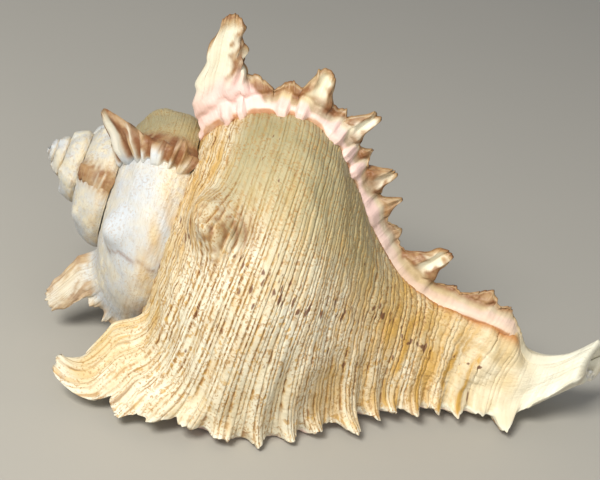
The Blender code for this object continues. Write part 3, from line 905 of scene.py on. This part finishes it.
class OutsideShader(Shader):
    """The shell's outside; each method lays one kind of colour over what is there."""

    def __init__(self):
        super().__init__("shell_outside")
        self.at = self.place()
        self.cord = self.mask("cord")
        self.arc = self.mask("arc")
        self.number = self.calc("ROUND", self.cord)
        self.gap = self.calc("ABSOLUTE", self.calc("SUBTRACT", self.cord, self.number))
        self.broad = self.noise(self.at, 40.0)
        self.patchy = self.noise(self.at, 110.0)
        self.fine = self.noise(self.at, 420.0, 4.0)

    def ground(self):
        """Ivory and cream, with honey streaks, dull olive that is partly painted shade, and worn white."""
        streak = self.noise(self.along(self.cord, 0.45, self.arc, 0.06), 1.0, 4.0)
        colour = self.mix(IVORY, CREAM, self.ramp(self.broad, 0.35, 0.6))
        colour = self.over(colour, HONEY, self.mask("honey"), self.ramp(streak, 0.35, 0.62, 0.2, 1.0))
        colour = self.over(colour, HONEY, self.ramp(streak, 0.50, 0.68, 0.0, 0.75), self.mask("grain"))
        # Olive on the upper side and far hump, and painted shade in the fold hollows and beside the knob.
        colour = self.over(colour, OLIVE_AND_SHADE, self.mask("olive_and_shade"), self.ramp(self.broad, 0.25, 0.7, 0.6, 1.0))
        creamy = self.ramp(self.broad, 0.42, 0.62)
        worn = self.over(WORN_WHITE, CREAM, creamy, self.ramp(self.fine, 0.4, 0.6, 0.3, 0.9))
        white = self.mix(TEETH_WHITE, worn, self.ramp(self.mask("growth"), -250.0, -300.0))
        return self.over(colour, white, self.mask("white"), self.ramp(self.patchy, 0.3, 0.55, 0.6, 1.0))

    def speckles(self, colour):
        """Fine golden specks in patches."""
        specks = self.ramp(self.noise(self.at, 1300.0, 1.0), 0.54, 0.66)
        patches = self.ramp(self.patchy, 0.34, 0.56)
        return self.over(colour, GOLD_BROWN, specks, patches, self.mask("grain"), 0.8)

    def lines(self, colour):
        """Broken lines in the grooves, golden to dark, each with a soft honey border."""
        width = self.noise(self.along(self.cord, 0.9, self.arc, 0.4, 2.0), 1.0, 3.0)
        width = self.ramp(width, 0.3, 0.7, 2.4, 0.5)
        line = self.ramp(self.times(self.gap, width), 0.05, 0.26, 1.0, 0.0)
        soft_line = self.ramp(self.gap, 0.05, 0.40, 1.0, 0.0)
        long_dash = self.noise(self.along(self.number, 7.31, self.arc, 0.11), 1.0, 2.0)
        dash = self.noise(self.along(self.number, 3.77, self.arc, 0.6), 1.0, 3.0)
        bold = self.noise(self.along(self.number, 1.93, self.arc, 0.008, 9.0), 1.0, 1.0)
        dark = self.noise(self.along(self.number, 2.2, self.arc, 0.06, 5.0), 1.0, 2.0)
        drawn = self.ramp(long_dash, 0.38, 0.56, 0.15, 1.0)
        drawn = self.times(drawn, self.ramp(dash, 0.42, 0.54, 0.2, 1.0))
        drawn = self.times(drawn, self.mask("lined"), self.ramp(bold, 0.32, 0.58, 0.5, 1.0))
        colour = self.over(colour, HONEY, drawn, soft_line, 0.8)
        pale_to_ochre = self.mix(GOLD_BROWN, OCHRE, self.ramp(self.patchy, 0.4, 0.6))
        colour = self.over(colour, pale_to_ochre, drawn, line)
        return self.over(colour, DARK_BROWN, drawn, line, self.ramp(dark, 0.46, 0.58), 0.85)

    def mottles(self, colour):
        """Golden squiggles between the lines, fewer on the dull upper side."""
        mottle = self.noise(self.along(self.cord, 1.3, self.arc, 0.5, 7.0), 1.0, 3.0)
        share = self.times(self.ramp(mottle, 0.55, 0.64), self.mask("grain"))
        share = self.times(share, self.ramp(self.broad, 0.35, 0.55, 0.35, 0.8))
        gold = self.mix(HONEY, GOLD_BROWN, self.ramp(self.fine, 0.4, 0.6))
        return self.over(colour, gold, share, self.ramp(self.mask("olive_and_shade"), 0.0, 0.8, 1.0, 0.3))

    def dark_dashes(self, colour):
        """Short dark dashes where the spots mask makes them likely."""
        spots = self.mask("spots")
        spot = self.noise(self.along(self.cord, 1.1, self.arc, 0.2, 4.0), 1.0, 1.5)
        likely = self.times(spot, self.ramp(spots, 0.0, 1.0, 0.85, 1.12))
        return self.over(colour, DARK_BROWN, self.ramp(likely, 0.62, 0.69), self.ramp(spots, 0.0, 0.2), 0.9)

    def lips(self, colour):
        """Rust at the seams, brown fronds, painted shade in hollows with the stop line, and the pink rolled
        rims.
        """
        colour = self.over(colour, RUST, self.mask("rust"), self.ramp(self.patchy, 0.3, 0.6, 0.6, 1.0))
        tan = self.ramp(self.noise(self.at, 300.0), 0.38, 0.62, 0.0, 0.55)
        frond = self.mix(FROND_BROWN, FROND_TAN, tan)
        colour = self.over(colour, frond, self.mask("brown"), self.ramp(self.patchy, 0.25, 0.55, 0.6, 1.0))
        # Painted shade in the hollows, laid on together with the line of stopped growth.
        colour = self.over(colour, SHADE_AND_LINE_BROWN, self.mask("deep"), self.ramp(self.fine, 0.3, 0.55, 0.5, 1.0))
        return self.over(colour, PINK, self.mask("pink"), self.ramp(self.broad, 0.2, 0.7, 0.65, 1.0))

    def relief(self):
        """Low relief finer than the mesh: grooves, growth lines, dents and grain."""
        normal = self.bump(self.times(self.ramp(self.gap, 0.0, 0.25), self.mask("lined")), 0.00025, 0.8)
        growth_lines = self.noise(self.along(self.cord, 0.6, self.arc, 1.2), 1.0, 4.0)
        normal = self.bump(growth_lines, 0.0005, 0.6, normal)
        normal = self.bump(self.patchy, 0.0008, 0.4, normal)
        return self.bump(self.fine, 0.0003, 0.6, normal)


def outer_material():
    """Ivory shell with ochre lines in the grooves, brown dashes, worn white whorls and pink old lips."""
    m = OutsideShader()
    colour = m.lines(m.speckles(m.ground()))
    colour = m.lips(m.dark_dashes(m.mottles(colour)))
    m.put(colour, m.surface.inputs["Base Color"])
    m.put(m.ramp(m.fine, 0.3, 0.7, 0.40, 0.60), m.surface.inputs["Roughness"])
    m.put(m.relief(), m.surface.inputs["Normal"])
    return m.material


def inner_material():
    """Smooth porcelain of the hollow, white at the edge and rosy deeper in."""
    m = Shader("shell_inside")
    place = m.place()
    deeper = m.ramp(m.mask("growth"), 10.0, -70.0)
    rosy = m.times(deeper, m.ramp(m.noise(place, 30.0), 0.3, 0.7, 0.5, 0.9))
    m.put(m.mix(PORCELAIN, PINK, rosy), m.surface.inputs["Base Color"])
    m.put(m.ramp(m.noise(place, 120.0), 0.3, 0.7, 0.16, 0.28), m.surface.inputs["Roughness"])
    m.put(m.bump(m.noise(place, 90.0), 0.0003, 0.4), m.surface.inputs["Normal"])
    return m.material


def floor_material():
    """A plain pale ground."""
    m = Shader("floor")
    colour = m.mix(FLOOR_DARK, FLOOR_LIGHT, m.noise(m.place(), 3.0))
    m.put(colour, m.surface.inputs["Base Color"])
    m.surface.inputs["Roughness"].default_value = 0.6
    return m.material


# Rows between two varices, on a varix's back and on its front, for the sheets from the lip backwards.
SHEET_ROWS = [(54, 40, 30), (44, 34, 32), (36, 28, 22), (40, 30, 24)]
SPIRE_ROWS = (22, 13, 9)
# How many stretches from varix to varix there are, and the place where the spire's sheets may end.
GROWTHS = 20
SPIRE_SHEETS_TO = 99


def build_shell():
    """The sheets between the last varices, one piece for the spire, and the mouth's hollow."""
    outside = outer_material()
    s = np.linspace(0, 1, CORDS * COLUMNS_PER_CORD + 1)
    for k, counts in enumerate(SHEET_ROWS):
        sheet = growth_rows(k, s, *counts)
        if k == 0:
            sheet = close_lip(sheet, s)
        sheet.append(s + 0 * sheet[2])
        sheet = close_suture(close_canal_end(sheet), size_at(-VARIX_STEP * k))
        points, high, growth, front, wide = sheet
        sheet_object(f"whorl_{k}", points, Cover(k, wide, growth, high, front).masks(), outside)
    upper = s[s < OUTLINE.share(SPIRE_SHEETS_TO)][::2]
    spire = []
    for k in range(len(SHEET_ROWS), GROWTHS)[::-1]:
        sheet = growth_rows(k, upper, *SPIRE_ROWS)
        sheet.append(upper + 0 * sheet[2])
        spire.append(close_suture(sheet, size_at(-VARIX_STEP * k)))
    points, high, growth, front, wide = [np.concatenate(part) for part in zip(*spire)]
    sheet_object("spire", points, Cover(COMB_VARIX, wide, growth, high, front).masks(), outside)
    points, growth = mouth_grid()
    sheet_object("mouth", points, {"growth": growth}, inner_material(), outward=False)


# The studio: each light's place, size, power and colour, the point they shine at, and the light all round.
KEY_LIGHT = ((-0.40, -0.66, 0.88), 0.45, 16.5, (1.0, 0.97, 0.92))
FILL_LIGHT = ((0.35, -1.0, 0.3), 0.9, 5, (1.0, 0.94, 0.86))
LIT_AT = (0, 0, 0.05)
SKY_COLOUR = (0.90, 0.93, 1.0, 1)
SKY_STRENGTH = 0.32
FLOOR_REACH = 3


def add_light(name, at, size, power, colour):
    """A square area light that shines at the shell."""
    lamp = bpy.data.lights.new(name, "AREA")
    lamp.size = size
    lamp.energy = power
    lamp.color = colour
    thing = bpy.data.objects.new(name, lamp)
    thing.location = at
    thing.rotation_mode = "QUATERNION"
    thing.rotation_quaternion = (Vector(at) - Vector(LIT_AT)).to_track_quat("Z", "Y")
    bpy.context.scene.collection.objects.link(thing)


def build_studio():
    """The ground, the light all round, a key light from the upper left and a low fill on the right."""
    mesh = bpy.data.meshes.new("floor")
    corners = [(x * FLOOR_REACH, y * FLOOR_REACH, 0) for x, y in ((-1, -1), (1, -1), (1, 1), (-1, 1))]
    mesh.from_pydata(corners, [], [(0, 1, 2, 3)])
    mesh.materials.append(floor_material())
    floor = bpy.data.objects.new("floor", mesh)
    bpy.context.scene.collection.objects.link(floor)
    world = bpy.data.worlds.new("studio")
    world.use_nodes = True
    background = world.node_tree.nodes["Background"]
    background.inputs["Color"].default_value = SKY_COLOUR
    background.inputs["Strength"].default_value = SKY_STRENGTH
    bpy.context.scene.world = world
    bpy.context.scene.view_settings.view_transform = "Standard"
    add_light("key", *KEY_LIGHT)
    add_light("fill", *FILL_LIGHT)


# The photograph's view: where the camera is and looks, in metres, its roll in degrees, and its lens.
CAMERA_AT = (0.01355, -0.41615, 0.25469)
CAMERA_TO = (-0.01184, 0.01232, 0.03983)
CAMERA_ROLL = 11.94
LENS_MM = 85
SENSOR_MM = 36


def add_camera():
    """The photograph's view: a long lens, tilted a little because the shell doesn't lie level in it."""
    camera = bpy.data.cameras.new("camera")
    camera.lens = LENS_MM
    camera.sensor_width = SENSOR_MM
    thing = bpy.data.objects.new("camera", camera)
    look = (Vector(CAMERA_AT) - Vector(CAMERA_TO)).to_track_quat("Z", "Y").to_matrix().to_4x4()
    roll = Matrix.Rotation(math.radians(CAMERA_ROLL), 4, "Z")
    thing.matrix_world = Matrix.Translation(CAMERA_AT) @ look @ roll
    bpy.context.scene.collection.objects.link(thing)
    bpy.context.scene.camera = thing


build_shell()
build_studio()
add_camera()
